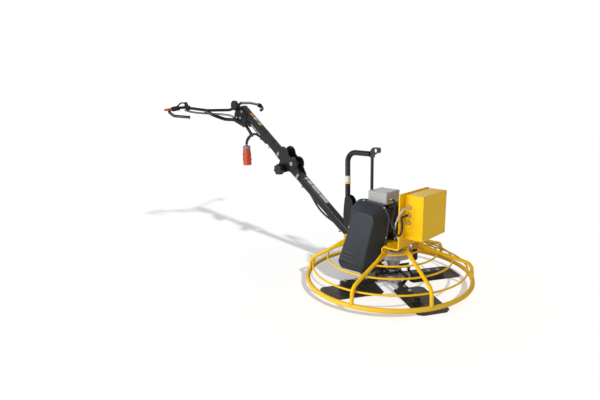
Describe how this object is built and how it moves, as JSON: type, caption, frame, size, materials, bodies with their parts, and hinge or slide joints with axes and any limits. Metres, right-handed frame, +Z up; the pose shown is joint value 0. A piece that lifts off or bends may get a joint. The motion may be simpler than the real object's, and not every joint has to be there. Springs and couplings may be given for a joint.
{
  "type": "power trowel",
  "caption": "Walk-behind electric power trowel: caged four-blade rotor with pitch control, belt-driven worm gearbox, control box and folding tube handle with a bent handlebar.",
  "frame": {"origin": "on the floor under the centre of the guard ring, in the plane of the blades' trowelling faces", "axes": "+Z up, +X forward away from the operator towards the control box, handle towards -X, belt guard on the -Y side"},
  "size_m": [2.1559, 1.0058, 1.082],
  "materials": {
    "guard_yellow": "gloss yellow enamel",
    "box_yellow": "gloss yellow enamel on sheet steel",
    "cast_grey": "as-cast, oily",
    "cap_black": "moulded cap",
    "bearing_steel": "ground",
    "belt_rubber": "fabric-faced belt",
    "motor_dark": "dark painted casting",
    "motor_grey": "satin light grey",
    "guard_plastic": "textured slate grey moulding",
    "zinc_screw": "zinc plated",
    "gland_metal": "nickel plated",
    "lead_grey": "light grey sheath",
    "cable_black": "matt sheath",
    "handle_black": "semi-gloss black powder coat",
    "shaft_steel": "turned",
    "bronze": "turned bronze",
    "hub_black": "black casting with wear",
    "pulley_iron": "machined",
    "fan_plastic": "moulded",
    "grip_rubber": "soft grip",
    "plug_red": "red moulding",
    "knob_plastic": "moulded",
    "blade_steel": "worn spring steel"
  },
  "bodies": {
    "chassis": {"guard_ring": "guard_yellow", "guard_rods": "guard_yellow", "guard_legs": "guard_yellow", "mount_plate": "guard_yellow", "gear_case_upper": "cast_grey", "gear_case_lower": "cast_grey", "gear_case_cap": "cap_black", "gearbox_bearings": "bearing_steel", "v_belt": "belt_rubber", "motor_housing": "motor_dark", "motor_end_shields": "motor_dark", "fan_cowl": "motor_dark", "terminal_box": "motor_grey", "belt_guard_cover": "guard_plastic", "belt_guard_back": "guard_plastic", "control_box": "box_yellow", "control_box_cover": "box_yellow", "cover_screws": "zinc_screw", "cable_glands": "gland_metal", "grey_lead": "lead_grey", "black_conduit": "cable_black", "lower_column": "handle_black", "fold_bracket_lower": "handle_black", "fold_pin": "zinc_screw", "column_brackets": "handle_black", "lifting_bale": "handle_black", "bale_post": "handle_black", "mains_cable_lower": "cable_black", "frame_bolts": "zinc_screw"},
    "rotor": {"main_shaft": "shaft_steel", "worm_wheel": "bronze", "spider_hub": "cast_grey"},
    "press": {"pressure_plate": "hub_black"},
    "collar": {"thrust_collar": "bearing_steel"},
    "yoke": {"pitch_yoke": "hub_black"},
    "worm_drive": {"worm_shaft": "shaft_steel", "input_pulley": "pulley_iron"},
    "motor_rotor": {"motor_shaft": "shaft_steel", "motor_pulley": "pulley_iron", "motor_fan": "fan_plastic"},
    "handle": {"upper_column": "handle_black", "fold_bracket_upper": "handle_black", "head_bracket": "handle_black", "handlebar": "handle_black", "bar_brace": "handle_black", "handle_grips": "grip_rubber", "lever_bracket": "handle_black", "mains_cable_upper": "cable_black", "mains_plug": "plug_red"},
    "dead_man": {"deadman_lever": "handle_black"},
    "pitch_control": {"pitch_wheel": "knob_plastic"},
    "clamp_knob": {"fold_knob": "knob_plastic"},
    "arm_1": {"trowel_arm_1": "hub_black", "blade_1": "blade_steel"},
    "arm_2": {"trowel_arm_2": "hub_black", "blade_2": "blade_steel"},
    "arm_3": {"trowel_arm_3": "hub_black", "blade_3": "blade_steel"},
    "arm_4": {"trowel_arm_4": "hub_black", "blade_4": "blade_steel"}
  },
  "joints": [
    {"name": "rotor_spin", "type": "hinge", "parent": "chassis", "child": "rotor", "pos_m": [0.03, 0, 0], "axis": [0, 0, 1], "continuous": true},
    {"name": "worm_spin", "type": "hinge", "parent": "chassis", "child": "worm_drive", "pos_m": [-0.088, 0, 0.2], "axis": [0, 1, 0], "continuous": true},
    {"name": "motor_spin", "type": "hinge", "parent": "chassis", "child": "motor_rotor", "pos_m": [-0.025, 0, 0.396], "axis": [0, 1, 0], "continuous": true},
    {"name": "pitch_collar_slide", "type": "slide", "parent": "chassis", "child": "collar", "axis": [0, 0, -1], "range_m": [0, 0.0096], "stiffness_N_per_m": 2000},
    {"name": "pressure_plate_slide", "type": "slide", "parent": "rotor", "child": "press", "axis": [0, 0, -1], "range_m": [0, 0.0097]},
    {"name": "arm_pitch_1", "type": "hinge", "parent": "rotor", "child": "arm_1", "pos_m": [0.03, 0, 0.031], "axis": [-0.8387, 0.5446, 0], "range_deg": [0, 15.2]},
    {"name": "arm_pitch_2", "type": "hinge", "parent": "rotor", "child": "arm_2", "pos_m": [0.03, 0, 0.031], "axis": [-0.5446, -0.8387, 0], "range_deg": [0, 15.2]},
    {"name": "arm_pitch_3", "type": "hinge", "parent": "rotor", "child": "arm_3", "pos_m": [0.03, 0, 0.031], "axis": [0.8387, -0.5446, 0], "range_deg": [0, 15.2]},
    {"name": "arm_pitch_4", "type": "hinge", "parent": "rotor", "child": "arm_4", "pos_m": [0.03, 0, 0.031], "axis": [0.5446, 0.8387, 0], "range_deg": [0, 15.2]},
    {"name": "yoke_pivot", "type": "hinge", "parent": "chassis", "child": "yoke", "pos_m": [-0.062, 0, 0.118], "axis": [0, 1, 0], "range_deg": [0, 6.1]},
    {"name": "pitch_wheel_turn", "type": "hinge", "parent": "handle", "child": "pitch_control", "pos_m": [-1.39, 0, 1.046], "axis": [0, 1, 0], "range_deg": [0, 271]},
    {"name": "handle_fold", "type": "hinge", "parent": "chassis", "child": "handle", "pos_m": [-0.79402, 0, 0.65551], "axis": [0, 1, 0], "range_deg": [0, 110]},
    {"name": "fold_knob_turn", "type": "hinge", "parent": "chassis", "child": "clamp_knob", "pos_m": [-0.89271, 0, 0.61091], "axis": [0, 1, 0], "range_deg": [0, 360]},
    {"name": "deadman_lever_swing", "type": "hinge", "parent": "handle", "child": "dead_man", "pos_m": [-1.58357, -0.33036, 1.06098], "axis": [0.9016, -0.4326, 0], "range_deg": [0, 12], "stiffness_Nm_per_rad": 1.5}
  ],
  "couplings": [
    {"joint": "worm_spin", "follows": "rotor_spin", "ratio": 12},
    {"joint": "motor_spin", "follows": "rotor_spin", "ratio": 15.972},
    {"joint": "pressure_plate_slide", "follows": "pitch_collar_slide", "ratio": 1},
    {"joint": "arm_pitch_1", "follows": "pitch_collar_slide", "rad_per_m": 27.271},
    {"joint": "arm_pitch_2", "follows": "pitch_collar_slide", "rad_per_m": 27.271},
    {"joint": "arm_pitch_3", "follows": "pitch_collar_slide", "rad_per_m": 27.271},
    {"joint": "arm_pitch_4", "follows": "pitch_collar_slide", "rad_per_m": 27.271},
    {"joint": "yoke_pivot", "follows": "pitch_collar_slide", "rad_per_m": 10.908},
    {"joint": "pitch_wheel_turn", "follows": "pitch_collar_slide", "rad_per_m": 490.87}
  ]
}
